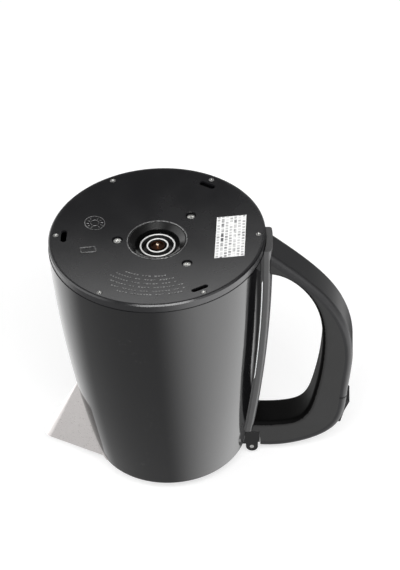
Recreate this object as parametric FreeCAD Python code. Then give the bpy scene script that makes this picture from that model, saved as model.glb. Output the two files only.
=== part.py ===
# Cordless electric jug kettle, standing upright on its base, in millimetres.
# The origin is on the jug's axis in the plane that the base rests on.
# +Z is up, the handle points to +X and the spout to -X.
import FreeCAD, Part

import math
import os

# Jug wall: its outer side is one arc through three points, turned about the axis.
# It starts just outside the base and leans in towards the rim.
base_radius = 75.0
foot_step = 0.4
belly_lean = 4.4
belly_height = 80.0
rim_lean = 18.9
rim_height = 180.0
jug_wall = 2.5
foot_radius = base_radius + foot_step
belly_radius = foot_radius - belly_lean
rim_radius = foot_radius - rim_lean

# Base cover: a narrow flat ring to stand on, a shallow dish inside it and a short band outside.
base_band = 6.0
base_plate = 2.6
plate_rim = 8.5
base_edge = 0.9
rest_width = 2.2
dish_radius = base_radius - rest_width
dish_depth = 5.0
spigot_wall = 2.2
spigot_height = 5.0
fit_gap = 0.3

# Six rim screws hold the cover to bosses on the jug.
rim_screw_count = 6
rim_screw_inset = 4.9
rim_screw_circle = base_radius - rim_screw_inset
rim_screw_head_radius = 1.9
rim_screw_head_height = 1.0
rim_screw_recess = 1.4
rim_screw_radius = 1.2
rim_screw_length = 11.0
rim_boss_radius = 3.2
rim_boss_height = 13.4

# Three drain slots lie along the edge of the dish.
slot_inset = 8.3
slot_circle = dish_radius - slot_inset
slot_length = 12.5
slot_width = 4.0
slot_angles = (180.0, 60.0, -60.0)

# Three control screws sit in counterbored bosses around a centre that is nearer to the handle.
control_centre = 3.9
control_screw_circle = 31.5
control_screw_angles = (180.0, 55.0, -55.0)
counterbore_radius = 3.75
counterbore_top = 6.8
control_boss_radius = 5.2
control_screw_head_radius = 3.0
control_screw_head_height = 2.1
control_screw_radius = 1.6
control_screw_length = 8.0
cross_width = 0.9
cross_depth = 0.8
cross_share = 0.7

# Rating label on the dish, towards the handle.
label_inset = 32.3
label_near = dish_radius - label_inset
label_length = 20.5
label_width = 44.0
label_thickness = 0.15

# Cordless connector in the middle of the base.
connector_radius = 20.0
connector_lip = 1.5
funnel_depth = 3.0
funnel_edge = 0.4
well_radius = 15.5
well_floor = 13.0
connector_top = 16.0
contact_face = 9.5
outer_ring_radius = 12.45
inner_ring_radius = 7.7
ring_wall = 1.2
pin_radius = 1.3
insulator_radius = 5.0
insulator_drop = 1.5

# Control, element and heating plate between the base cover and the water.
control_radius = 33.0
control_bottom = 10.0
control_top = 18.4
bimetal_radius = 9.0
bimetal_thickness = 0.8
bimetal_spread = 17.0
bimetal_post_radius = 2.2
ledge_width = 15.4
ledge_inner = foot_radius - ledge_width
ledge_bottom = 22.0
ledge_thickness = 2.5
seal_thickness = 1.5
plate_thickness = 0.8
plate_overlap = 4.5
skirt_drop = 6.5
clamp_width = 7.0
clamp_thickness = 2.5
spreader_inset = 14.0
spreader_radius = ledge_inner - spreader_inset
spreader_thickness = 2.5
element_inset = 8.0
element_circle = spreader_radius - element_inset
element_radius = 3.3
element_sink = 1.5
element_gap_angle = 60.0
tail_radius = 1.8
tail_share = 0.8

# Level windows on both sides of the handle strip.
window_bottom = 28.0
window_top = 118.0
window_width = 5.0
window_gap = 3.5

# Handle: a strip on the jug, a loop with an outer cover and an inner grip, and a cap at its top.
handle_width = 27.0
strip_thickness = 4.3
strip_bottom = 5.0
strip_corner = 2.0
handle_room = 58.6
handle_reach = foot_radius + handle_room
handle_edge = 4.0
handle_wall = 2.4
cover_depth = 5.5
grip_height = 97.0
grip_thickness = 21.7
hole_bottom = 28.0
hole_drop = 13.0
notch_height = 142.0
handle_root = 5.0
# Bends of the handle's back: distance in from its reach, and height.
back_bends = ((32.5, 31.0), (9.5, 61.0), (0.0, grip_height), (3.5, 135.0), (12.0, 170.0), (36.0, 186.5))
back_start = 2.5
back_end_rise = 2.5
# Bends of the finger hole: distance in from the grip's inner side, and height over the hole's bottom.
hole_bends = ((26.0, 2.0), (11.0, 15.5), (2.0, 34.5))
hole_start_drop = 0.5
# Upper bends of the finger hole: distance in, and drop from the hole's top.
hole_upper_bends = ((7.5, 25.0), (18.5, 4.0), (28.5, 0.5))
notch_gap = 0.8

# Two screws inside the base hold the handle, and two wires pass beside them.
handle_screw_spread = 9.5
handle_fix_height = 15.5
handle_screw_radius = 1.5
handle_screw_head_radius = 2.6
handle_screw_head_height = 1.8
handle_screw_length = 11.0
handle_boss_radius = 3.0
wire_radius = 1.1
wire_spread = 4.8
wire_straight = 0.4
bend_share = 0.45
# Bends of the wires inside the handle: distance in from its reach, and height.
wire_bends = ((46.0, 25.0), (32.5, 37.7), (17.5, 60.0), (11.0, 97.0), (14.5, 128.0))

# Switch rocker on the back of the handle's cap, on a pin along Y.
rocker_height = 160.0
rocker_length = 23.2
rocker_width = 16.8
rocker_gap = 0.4
rocker_pivot_depth = 3.6
rocker_proud = 2.2
rocker_low = 0.8
rocker_body = 3.0
rocker_leg_length = 6.0
rocker_leg_width = 4.0
rocker_hub_radius = 2.4
switch_pin_radius = 1.2
switch_pin_bury = 1.4
running_gap = 0.05
switch_length = 26.0
switch_width = 17.0
switch_clear = 2.0

# Collar at the rim, with the ears of the lid's hinge.
collar_height = 7.0
collar_spigot = 8.0
collar_spigot_wall = 2.2
lid_seat_width = 3.3
lid_seat_drop = 3.5
ear_width = 3.2
ear_radius = 4.4
hinge_block_length = 10.5
hinge_block_depth = 10.5
hinge_block_drop = 0.5
hinge_setback = 4.6
hinge_pin_radius = 1.5
barrel_radius = 3.6
barrel_gap = 0.4

# Lid: a domed cover over an inner plate.
lid_inset = 8.0
lid_radius = rim_radius - lid_inset
lid_gap = 0.8
lid_wall = 2.2
lid_rise = 11.0
lid_edge = 2.6
lid_plate = 2.1
lid_well_radius = 30.0
lid_well_depth = 4.0
lug_half_width = 9.8
lug_thickness = 4.4
tab_reach = 7.5
tab_half_width = 9.0
tab_thickness = 2.4
vent_radius = 2.0
vent_count = 5

# Spout: a thin V-shaped trough on the front of the jug.
spout_length = 37.5
spout_reach = rim_radius + spout_length
spout_lip_drop = 1.0
spout_root = 135.5
spout_half_angle = 26.0
spout_nose_radius = 9.0
spout_wall = 1.0
spout_flange = 3.0
spout_flange_thickness = 0.8
spout_window_inset = 2.0

# Filter behind the spout, a frame with a mesh that lies along the inside of the wall.
filter_thickness = 1.8
filter_half_width = 24.0
filter_bottom = 143.0
filter_border = 3.5
filter_mesh = 0.4

# Heights and radii that follow from the sizes above.
collar_top = rim_height + collar_height
plate_bottom = ledge_bottom + ledge_thickness + seal_thickness
plate_top = plate_bottom + plate_thickness
half_width = handle_width / 2
reach_past = 200.0


def at(x, y, z):
    return FreeCAD.Vector(x, y, z)


axis_x = at(1, 0, 0)
axis_y = at(0, 1, 0)
axis_z = at(0, 0, 1)
centre = at(0, 0, 0)


def circle_through(first, second, third):
    """Centre and radius of the circle through three (radius, height) points."""
    (ax, az), (bx, bz), (cx, cz) = first, second, third
    d = 2 * (ax * (bz - cz) + bx * (cz - az) + cx * (az - bz))
    a2 = ax * ax + az * az
    b2 = bx * bx + bz * bz
    c2 = cx * cx + cz * cz
    x = (a2 * (bz - cz) + b2 * (cz - az) + c2 * (az - bz)) / d
    z = (a2 * (cx - bx) + b2 * (ax - cx) + c2 * (bx - ax)) / d
    return x, z, math.hypot(ax - x, az - z)


wall_circle = circle_through((foot_radius, base_band), (belly_radius, belly_height), (rim_radius, rim_height))


def wall_radius(height):
    """Outer radius of the jug at a height."""
    x, z, r = wall_circle
    return x + math.sqrt(r * r - (height - z) ** 2)


def wall_edge(offset, start, end):
    """Arc along the jug wall from one height to another, moved out by an offset."""
    middle = (start + end) / 2
    points = [at(wall_radius(h) + offset, 0, h) for h in (start, middle, end)]
    return Part.Arc(*points).toShape()


def closed_face(*runs):
    """Face in the XZ plane from edges and (x, z) points in order, joined by straight lines."""
    edges = []
    last = None
    first = None
    for run in runs:
        if isinstance(run, tuple):
            start = at(run[0], 0, run[1])
            end = start
        else:
            start = run.valueAt(run.FirstParameter)
            end = run.valueAt(run.LastParameter)
        if last is not None and last.distanceToPoint(start) > 1e-6:
            edges.append(Part.makeLine(last, start))
        if not isinstance(run, tuple):
            edges.append(run)
        first = first or start
        last = end
    if last.distanceToPoint(first) > 1e-6:
        edges.append(Part.makeLine(last, first))
    return Part.Face(Part.Wire(edges))


def turned(*runs):
    """Solid of revolution about the jug's axis."""
    return closed_face(*runs).revolve(centre, axis_z, 360)


def ring(inner, outer, bottom, top):
    return turned((inner, bottom), (outer, bottom), (outer, top), (inner, top))


def upright(radius, bottom, top, x=0.0, y=0.0):
    return Part.makeCylinder(radius, top - bottom, at(x, y, bottom), axis_z)


def along_x(radius, start, end, y, z):
    return Part.makeCylinder(radius, end - start, at(start, y, z), axis_x)


def along_y(radius, half_length, x, z):
    return Part.makeCylinder(radius, 2 * half_length, at(x, -half_length, z), axis_y)


def block(x0, x1, half_y, z0, z1):
    """Box that is centred across the handle's plane."""
    return Part.makeBox(x1 - x0, 2 * half_y, z1 - z0, at(x0, -half_y, z0))


def polar(radius, angle):
    turn = math.radians(angle)
    return radius * math.cos(turn), radius * math.sin(turn)


def spaced(count):
    return [360.0 * i / count for i in range(count)]


def joined(shapes):
    first = shapes[0]
    return first.fuse(shapes[1:]).removeSplitter() if len(shapes) > 1 else first


def jug_space(offset, bottom, top):
    """Everything inside the jug's outer side, moved out by an offset."""
    return turned((0, bottom), wall_edge(offset, bottom, top), (0, top))


def wall_layer(inner, outer, bottom, top):
    """Layer along the jug wall between two offsets."""
    outside = wall_edge(outer, bottom, top)
    inside = wall_edge(inner, top, bottom)
    return turned(outside, inside)


def dish_height(radius):
    """Height of the dish's underside at a radius. It is part of a sphere, from the rim to the connector."""
    lip = connector_radius + connector_lip
    centre_drop = (dish_radius ** 2 - lip ** 2 - dish_depth ** 2) / (2 * dish_depth)
    sphere = math.hypot(dish_radius, centre_drop)
    inside = min(dish_radius, max(lip, radius))
    return math.sqrt(sphere ** 2 - inside ** 2) - centre_drop


def dish_edge(start, end, drop=0):
    """Arc along the dish's underside from one radius to another, moved down by a drop."""
    middle = (start + end) / 2
    points = [at(r, 0, dish_height(r) - drop) for r in (start, middle, end)]
    return Part.Arc(*points).toShape()


def control_places():
    for angle in control_screw_angles:
        x, y = polar(control_screw_circle, angle)
        yield control_centre + x, y


def cross_head(radius, bottom, top, x, y):
    """Screw head with its cross recess in the lower face."""
    head = upright(radius, bottom, top, x, y)
    arm = radius * cross_share
    for long_x, long_y in ((arm, cross_width / 2), (cross_width / 2, arm)):
        corner = at(x - long_x, y - long_y, bottom)
        head = head.cut(Part.makeBox(2 * long_x, 2 * long_y, cross_depth, corner))
    return head


# Base cover and its screws


def base_cover():
    lip = connector_radius + connector_lip
    spigot_outer = wall_radius(base_band) - jug_wall - fit_gap
    spigot_inner = spigot_outer - spigot_wall
    spigot_top = base_band + spigot_height
    cover = turned(
        (connector_radius, dish_depth),
        dish_edge(lip, dish_radius),
        (base_radius - base_edge, 0),
        (base_radius, base_edge),
        (base_radius, base_band),
        (spigot_outer, base_band),
        (spigot_outer, spigot_top),
        (spigot_inner, spigot_top),
        (spigot_inner, base_plate),
        (base_radius - plate_rim, base_plate),
        (lip, dish_depth + base_plate),
        (connector_radius, dish_depth + base_plate),
    )
    bosses = []
    holes = []
    for x, y in control_places():
        low = dish_height(math.hypot(x, y)) + base_plate / 2
        bosses.append(upright(control_boss_radius, low, control_bottom, x, y))
        holes.append(upright(counterbore_radius, -base_plate, counterbore_top, x, y))
        holes.append(upright(control_screw_radius, 0, control_bottom + 1, x, y))
    for angle in spaced(rim_screw_count):
        x, y = polar(rim_screw_circle, angle)
        holes.append(upright(rim_boss_radius + fit_gap, base_plate, spigot_top + 1, x, y))
        holes.append(upright(rim_screw_head_radius + fit_gap, -1, rim_screw_recess, x, y))
        holes.append(upright(rim_screw_radius, -1, base_plate + 1, x, y))
    for angle in slot_angles:
        straight = slot_length - slot_width
        slot = Part.makeBox(slot_width, straight, 2 * dish_depth, at(-slot_width / 2, -straight / 2, -1))
        ends = [upright(slot_width / 2, -1, 2 * dish_depth - 1, 0, s * straight / 2) for s in (1, -1)]
        slot = joined([slot] + ends)
        slot.translate(at(slot_circle, 0, 0))
        slot.rotate(centre, axis_z, angle)
        holes.append(slot)
    return cover.fuse(bosses).cut(holes).removeSplitter()


def rim_screws():
    screws = []
    for angle in spaced(rim_screw_count):
        x, y = polar(rim_screw_circle, angle)
        low = rim_screw_recess - rim_screw_head_height
        head = cross_head(rim_screw_head_radius, low, rim_screw_recess, x, y)
        shank = upright(rim_screw_radius, rim_screw_recess, rim_screw_recess + rim_screw_length, x, y)
        screws.append(head.fuse(shank).removeSplitter())
    return Part.makeCompound(screws)


def control_screws():
    screws = []
    for x, y in control_places():
        low = counterbore_top - control_screw_head_height
        head = cross_head(control_screw_head_radius, low, counterbore_top, x, y)
        shank = upright(control_screw_radius, counterbore_top, counterbore_top + control_screw_length, x, y)
        screws.append(head.fuse(shank).removeSplitter())
    return Part.makeCompound(screws)


def rating_label():
    lip = connector_radius + connector_lip
    layer = turned(dish_edge(lip, dish_radius, label_thickness), dish_edge(dish_radius, lip))
    label_far = label_near + label_length
    return layer.common(block(label_near, label_far, label_width / 2, -dish_depth, dish_depth))


# Cordless connector


def connector_housing():
    outer = connector_radius - fit_gap
    funnel_top = dish_depth + funnel_depth
    cup = turned(
        (outer, dish_depth),
        (outer, connector_top),
        (0, connector_top),
        (0, contact_face + insulator_drop),
        (insulator_radius, contact_face + insulator_drop),
        (insulator_radius, well_floor),
        (well_radius, well_floor),
        (well_radius, funnel_top),
        (outer - funnel_edge, dish_depth),
    )
    return cup.cut([contact_ring(outer_ring_radius), contact_ring(inner_ring_radius), connector_pin()])


def contact_ring(radius):
    return ring(radius - ring_wall, radius, contact_face, (well_floor + connector_top) / 2)


def connector_pin():
    tip = Part.makeSphere(pin_radius, at(0, 0, contact_face))
    return upright(pin_radius, contact_face, (well_floor + connector_top) / 2).fuse(tip).removeSplitter()


# Control, element and heating plate


def control_body():
    body = upright(control_radius, control_bottom, control_top, control_centre)
    body = body.cut(upright(connector_radius - fit_gap, 0, connector_top))
    posts = []
    for side in (1, -1):
        y = side * bimetal_spread
        posts.append(upright(bimetal_post_radius, control_top - 1, disc_bottom(), 0, y))
    hole_top = counterbore_top + control_screw_length
    holes = [upright(control_screw_radius, 0, hole_top, x, y) for x, y in control_places()]
    return body.fuse(posts).cut(holes + element_tails()).removeSplitter()


def disc_bottom():
    return plate_bottom - spreader_thickness - bimetal_thickness


def bimetal_discs():
    discs = []
    low = disc_bottom()
    for side in (1, -1):
        discs.append(upright(bimetal_radius, low, low + bimetal_thickness, 0, side * bimetal_spread))
    return Part.makeCompound(discs)


def element_height():
    return plate_bottom - spreader_thickness + element_sink - element_radius


def element_tails():
    """Cold tails of the element: short rods from its two ends to the control."""
    tails = []
    for side in (1, -1):
        angle = 180 + side * element_gap_angle / 2
        x, y = polar(element_circle, angle)
        inner_x, inner_y = polar(control_radius * tail_share, angle)
        start = at(x, y, element_height())
        end = at(inner_x + control_centre, inner_y, control_top - tail_radius)
        reach = end.sub(start)
        tails.append(Part.makeCylinder(tail_radius, reach.Length, start, reach))
    return tails


def heating_element():
    """Sheathed tube, bent to an open ring, with its cold tails."""
    place = at(element_circle, 0, element_height())
    section = Part.Face(Part.Wire(Part.makeCircle(element_radius, place, axis_y)))
    tube = section.revolve(centre, axis_z, 360 - element_gap_angle)
    tube.rotate(centre, axis_z, 180 + element_gap_angle / 2)
    return tube.fuse(element_tails()).removeSplitter()


def heat_spreader():
    disc = upright(spreader_radius, plate_bottom - spreader_thickness, plate_bottom)
    return disc.cut(heating_element())


def heating_plate():
    skirt_inner = ledge_inner - fit_gap - plate_thickness
    return turned(
        (0, plate_bottom),
        (skirt_inner, plate_bottom),
        (skirt_inner, plate_bottom - skirt_drop),
        (skirt_inner + plate_thickness, plate_bottom - skirt_drop),
        (skirt_inner + plate_thickness, plate_bottom),
        (ledge_inner + plate_overlap, plate_bottom),
        (ledge_inner + plate_overlap, plate_top),
        (0, plate_top),
    )


def plate_seal():
    low = plate_bottom - seal_thickness
    return ring(ledge_inner - fit_gap, ledge_inner + plate_overlap, low, plate_bottom)


def clamp_ring():
    inner = ledge_inner - fit_gap
    return ring(inner, inner + clamp_width, ledge_bottom - clamp_thickness, ledge_bottom)


# Jug wall, level windows and handle strip


def window_boxes():
    near = half_width + window_gap
    boxes = []
    for side in (1, -1):
        low = side * near if side > 0 else -near - window_width
        corner = at(0, low, window_bottom)
        boxes.append(Part.makeBox(base_radius + reach_past, window_width, window_top - window_bottom, corner))
    return boxes


def screw_holes():
    """Holes for the handle's screws."""
    end = screw_seat() + handle_screw_length
    return [along_x(handle_screw_radius, 0, end, s * handle_screw_spread, handle_fix_height) for s in (1, -1)]


def wire_holes():
    """Room for the wires where they pass through jug, strip and grip."""
    return wire_tubes(wire_radius + fit_gap)


def screw_seat():
    """Inner side of the jug wall where the handle's screws press on it."""
    inner = wall_radius(handle_fix_height) - jug_wall
    return math.sqrt(inner ** 2 - (handle_screw_spread + handle_screw_head_radius) ** 2)


def body_shell():
    ledge_top = ledge_bottom + ledge_thickness
    shell = turned(
        wall_edge(0, base_band, rim_height),
        wall_edge(-jug_wall, rim_height, ledge_top),
        (ledge_inner, ledge_top),
        (ledge_inner, ledge_bottom),
        wall_edge(-jug_wall, ledge_bottom, base_band),
    )
    bosses = []
    holes = []
    for angle in spaced(rim_screw_count):
        x, y = polar(rim_screw_circle, angle)
        bosses.append(upright(rim_boss_radius, base_plate, base_plate + rim_boss_height, x, y))
        holes.append(upright(rim_screw_radius, 0, rim_screw_recess + rim_screw_length, x, y))
    inside = jug_space(-jug_wall / 2, -1, rim_height)
    bosses = [boss.common(inside) for boss in bosses]
    holes.append(spout_cone(spout_window_inset))
    return shell.fuse(bosses).cut(holes + window_boxes() + screw_holes() + wire_holes()).removeSplitter()


def water_windows():
    layer = wall_layer(-jug_wall, 0, window_bottom, window_top)
    return Part.makeCompound([layer.common(box) for box in window_boxes()])


def handle_saddle():
    layer = wall_layer(0, strip_thickness, strip_bottom, block_bottom())
    strip = layer.common(block(0, handle_reach, half_width, 0, collar_top))
    corners = []
    for edge in strip.Edges:
        middle = edge.CenterOfMass
        outside = math.hypot(middle.x, middle.y) > wall_radius(middle.z) + strip_thickness / 2
        tall = edge.BoundBox.ZLength > handle_width
        if outside and tall and abs(abs(middle.y) - half_width) < 1e-3:
            corners.append(edge)
    return strip.makeFillet(strip_corner, corners).cut(screw_holes() + wire_holes())


# Handle loop


def smooth(points):
    """Smooth curve in the XZ plane through (x, z) points."""
    curve = Part.BSplineCurve()
    curve.interpolate([at(x, 0, z) for x, z in points])
    return curve


def moved(points, distance):
    """The points of a curve, moved to its left, seen along +Y with X to the right."""
    curve = smooth(points)
    result = []
    for x, z in points:
        way = curve.tangent(curve.parameter(at(x, 0, z)))[0]
        result.append((x - way.z * distance, z + way.x * distance))
    return result


def back_points():
    """Outer contour of the handle, from its root on the jug over the grip to the lid's hinge."""
    return [
        (foot_radius - handle_root, back_start),
        *[(handle_reach - inset, height) for inset, height in back_bends],
        (rim_radius, collar_top + back_end_rise),
    ]


def hole_points():
    """Contour of the finger hole, from the jug under the lower arm round to the upper arm."""
    inner_reach = handle_reach - grip_thickness
    hole_top = rim_height - hole_drop
    return [
        (foot_radius - handle_root, hole_bottom - hole_start_drop),
        *[(inner_reach - inset, hole_bottom + rise) for inset, rise in hole_bends],
        (inner_reach, grip_height),
        *[(inner_reach - inset, hole_top - drop) for inset, drop in hole_upper_bends],
        (rim_radius, hole_top),
    ]


def prism(points, half_y, far_x):
    """Slab across the handle between a contour and a point inside the jug."""
    edge = smooth(points).toShape()
    face = closed_face(edge, (far_x, (points[0][1] + points[-1][1]) / 2))
    face.translate(at(0, -half_y, 0))
    return face.extrude(at(0, 2 * half_y, 0))


def rounded(solid):
    """Slab with its long curved edges rounded."""
    edges = [e for e in solid.Edges if e.Length > handle_reach and "BSpline" in e.Curve.TypeId]
    return solid.makeFillet(handle_edge, edges)


def loop_envelope():
    """Outer form of the whole handle loop, up to the strip and the hinge block."""
    outer = prism(back_points(), half_width, 0)
    hole = prism(hole_points(), half_width, 0)
    loop = rounded(outer.cut(hole))
    loop = loop.cut(jug_space(strip_thickness, -reach_past, collar_top + reach_past / 4))
    return loop.cut(block(0, block_end() + fit_gap, handle_width, block_bottom() - fit_gap, 2 * rim_height))


def loop_cavity():
    """Hollow inside the handle loop."""
    half_y = half_width - handle_wall
    outer = prism(moved(back_points(), handle_wall), half_y, 0)
    hole = prism(moved(hole_points(), -handle_wall), half_y, 0)
    return outer.cut(hole).cut(block(0, block_end() + handle_wall, half_width, notch_height, 2 * rim_height))


def behind_seam():
    """Everything on the grip's side of the seam between cover and grip."""
    return prism(moved(back_points(), cover_depth), handle_width, 0)


def handle_grip():
    return loop_envelope().cut(loop_cavity()).common(behind_seam()).cut(wire_holes())


def handle_shell():
    """Cover and cap in one, before the notch parts them."""
    return loop_envelope().cut(loop_cavity()).cut(behind_seam())


def handle_cover():
    below = block(0, 2 * handle_reach, handle_width, -1, notch_height)
    cover = handle_shell().common(below)
    bosses = []
    for side in (1, -1):
        y = side * handle_screw_spread
        boss_end = screw_seat() + handle_screw_length
        boss = along_x(handle_boss_radius, foot_radius, boss_end, y, handle_fix_height)
        bosses.append(boss.common(loop_envelope()).cut(behind_seam()))
    return cover.fuse(bosses).cut(screw_holes()).removeSplitter()


def handle_top_cap():
    above = block(0, 2 * handle_reach, handle_width, notch_height + notch_gap, 2 * rim_height)
    cap = handle_shell().common(above)
    opening = in_rocker_frame(rocker_opening())
    return cap.cut([opening, switch_pin()])


def handle_screws():
    screws = []
    for side in (1, -1):
        y = side * handle_screw_spread
        seat = screw_seat()
        head = along_x(handle_screw_head_radius, seat - handle_screw_head_height, seat, y, handle_fix_height)
        shank = along_x(handle_screw_radius, seat, seat + handle_screw_length, y, handle_fix_height)
        screws.append(head.fuse(shank).removeSplitter())
    return Part.makeCompound(screws)


# Switch on the back of the handle's cap


def rocker_place():
    """Point on the handle's back at the rocker's height, and the way along the back there."""
    curve = smooth(back_points())
    low, high = curve.parameter(at(*as_point(back_points()[3]))), curve.LastParameter
    for _ in range(60):
        middle = (low + high) / 2
        if curve.value(middle).z < rocker_height:
            low = middle
        else:
            high = middle
    return curve.value(low), curve.tangent(low)[0]


def as_point(pair):
    return pair[0], 0, pair[1]


def rocker_pivot():
    point, way = rocker_place()
    return point.x - way.z * rocker_pivot_depth, point.z + way.x * rocker_pivot_depth


def in_rocker_frame(shape):
    """Place a shape that was made with X out of the handle and Z along its back, about the pivot."""
    _, way = rocker_place()
    x, z = rocker_pivot()
    shape = shape.copy()
    shape.rotate(centre, axis_y, -math.degrees(math.atan2(-way.x, way.z)))
    shape.translate(at(x, 0, z))
    return shape


def rocker_opening():
    half_length = rocker_length / 2 + rocker_gap
    half_opening = rocker_width / 2 + rocker_gap
    return block(-cover_depth, cover_depth + rocker_pivot_depth, half_opening, -half_length, half_length)


def switch_rocker():
    half_length = rocker_length / 2
    top = rocker_pivot_depth
    leg = rocker_leg_width / 2
    under = top - rocker_body
    face = closed_face(
        (under, -half_length),
        (top + rocker_proud, -half_length),
        (top + rocker_low, 0),
        (top + rocker_proud / 2, half_length),
        (under, half_length),
        (under, leg),
        (-rocker_leg_length, leg),
        (-rocker_leg_length, -leg),
        (under, -leg),
    )
    face.translate(at(0, -rocker_width / 2, 0))
    rocker = face.extrude(at(0, rocker_width, 0))
    rocker = rocker.common(along_y(half_length, rocker_width, 0, 0))
    hub = along_y(rocker_hub_radius, rocker_width / 2, 0, 0)
    bore = along_y(switch_pin_radius + running_gap, half_width, 0, 0)
    return in_rocker_frame(rocker.fuse(hub).cut(bore).removeSplitter())


def switch_pin():
    x, z = rocker_pivot()
    return along_y(switch_pin_radius, half_width - handle_wall + switch_pin_bury, x, z)


def steam_switch():
    """Switch block between the rocker's leg and the inside of the grip."""
    depth = grip_thickness
    near = -rocker_leg_length - switch_clear
    bar = block(near - depth, near, switch_width / 2, -switch_length / 2, switch_length / 2)
    return in_rocker_frame(bar).common(loop_cavity()).common(behind_seam())


def route(points, radius):
    """Tube along straight runs joined by tangent arcs."""
    points = [at(*p) for p in points]
    edges = []
    last = points[0]
    for before, corner, after in zip(points, points[1:], points[2:]):
        back = before.sub(corner)
        ahead = after.sub(corner)
        shorter = min(back.Length, ahead.Length)
        back.normalize()
        ahead.normalize()
        cut_back = bend_share * shorter
        start = corner.add(back * cut_back)
        end = corner.add(ahead * cut_back)
        half_turn = (math.pi - back.getAngle(ahead)) / 2
        bend = cut_back / math.tan(half_turn)
        inward = back.add(ahead)
        inward.normalize()
        middle = corner.add(inward * (bend / math.cos(half_turn) - bend))
        edges.append(Part.makeLine(last, start))
        edges.append(Part.Arc(start, middle, end).toShape())
        last = end
    edges.append(Part.makeLine(last, points[-1]))
    path = Part.Wire(edges)
    way = points[1].sub(points[0])
    section = Part.Wire(Part.makeCircle(radius, points[0], way))
    return path.makePipeShell([section], True, False)


def wire_tubes(radius):
    """Routes of the two wires from the control through the handle to the steam switch."""
    box = steam_switch().BoundBox
    start_x = control_centre + math.sqrt(control_radius ** 2 - (wire_spread - wire_radius) ** 2)
    wires = []
    for side in (1, -1):
        y = side * wire_spread
        path = [
            (start_x, y, handle_fix_height),
            (foot_radius + strip_thickness + wire_straight, y, handle_fix_height),
            *[(handle_reach - inset, y, height) for inset, height in wire_bends],
            ((box.XMin + box.XMax) / 2, y, box.ZMin + wire_radius),
        ]
        wires.append(route(path, radius))
    return wires


def lead_wires():
    switch = steam_switch()
    return Part.makeCompound([wire.cut(switch) for wire in wire_tubes(wire_radius)])


# Collar, hinge and lid


def block_end():
    return wall_radius(collar_top) + hinge_block_length


def block_bottom():
    return collar_top - hinge_block_drop - hinge_block_depth


def hinge_point():
    return wall_radius(collar_top) + hinge_setback, collar_top + barrel_radius + barrel_gap


def top_collar():
    seat = collar_top - lid_seat_drop
    opening = lid_radius + lid_gap
    spigot_outer = rim_radius - jug_wall - fit_gap
    spigot_inner = spigot_outer - collar_spigot_wall
    collar = turned(
        wall_edge(0, rim_height, collar_top),
        (opening, collar_top),
        (opening, seat),
        (opening - lid_seat_width, seat),
        (opening - lid_seat_width, rim_height),
        (spigot_inner, rim_height),
        (spigot_inner, rim_height - collar_spigot),
        (spigot_outer, rim_height - collar_spigot),
        (spigot_outer, rim_height),
    )
    x, z = hinge_point()
    bracket = block(0, block_end(), half_width, block_bottom(), collar_top - hinge_block_drop)
    bracket = bracket.cut(jug_space(0, 0, rim_height))
    bracket = bracket.cut(jug_space(-lid_seat_width / 2, rim_height, collar_top))
    ears = []
    for side in (1, -1):
        low = half_width - ear_width if side > 0 else -half_width
        foot = block_bottom() + 1
        post = Part.makeBox(2 * ear_radius, ear_width, z - foot, at(x - ear_radius, low, foot))
        post = post.cut(jug_space(0, 0, collar_top))
        eye = Part.makeCylinder(ear_radius, ear_width, at(x, low, z), axis_y)
        ears.extend([post, eye])
    return collar.fuse([bracket] + ears).cut(lid_hinge_pin()).removeSplitter()


def lid_hinge_pin():
    x, z = hinge_point()
    return along_y(hinge_pin_radius, half_width, x, z)


def lid_bottom():
    return collar_top - lid_seat_drop + fit_gap


def lid_dome(inset):
    """Dome of the lid, moved in by an inset, down to the joint with the inner plate."""
    low = lid_bottom() + lid_plate
    edge = low + lid_edge
    top = edge + lid_rise - inset
    outer = lid_radius - inset
    chord = math.hypot(outer, top - edge)
    lean = math.atan2(top - edge, outer)
    bow = chord / 2 * math.tan(lean / 2)
    middle = at(outer / 2 + bow * math.sin(lean), 0, (edge + top) / 2 + bow * math.cos(lean))
    arc = Part.Arc(at(outer, 0, edge), middle, at(0, 0, top)).toShape()
    return turned((0, low), (outer, low), arc)


def lid_cover():
    x, z = hinge_point()
    low = collar_top + barrel_gap
    inside = lid_dome(lid_wall)
    lug = block(lid_radius / 2, x, lug_half_width, low, low + lug_thickness)
    barrel = along_y(barrel_radius, lug_half_width, x, z)
    tab = block(-lid_radius - tab_reach, -lid_radius / 2, tab_half_width, low, low + tab_thickness)
    bore = along_y(hinge_pin_radius + running_gap, half_width, x, z)
    return lid_dome(0).fuse([lug, barrel, tab]).cut([inside, bore]).removeSplitter()


def lid_inner():
    low = lid_bottom()
    plate = turned(
        (0, low - lid_well_depth),
        (lid_well_radius, low - lid_well_depth),
        (lid_well_radius + lid_plate, low),
        (lid_radius - fit_gap, low),
        (lid_radius - fit_gap, low + lid_plate),
        (lid_well_radius, low + lid_plate),
        (lid_well_radius - lid_plate, low + lid_plate - lid_well_depth),
        (0, low + lid_plate - lid_well_depth),
    )
    vents = []
    for i in range(vent_count):
        y = (i - (vent_count - 1) / 2) * 3 * vent_radius
        x = lid_well_radius / 2
        vents.append(upright(vent_radius, low - lid_well_depth - 1, low + lid_plate + 1, x, y))
    return plate.cut(vents)


# Spout and filter


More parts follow.
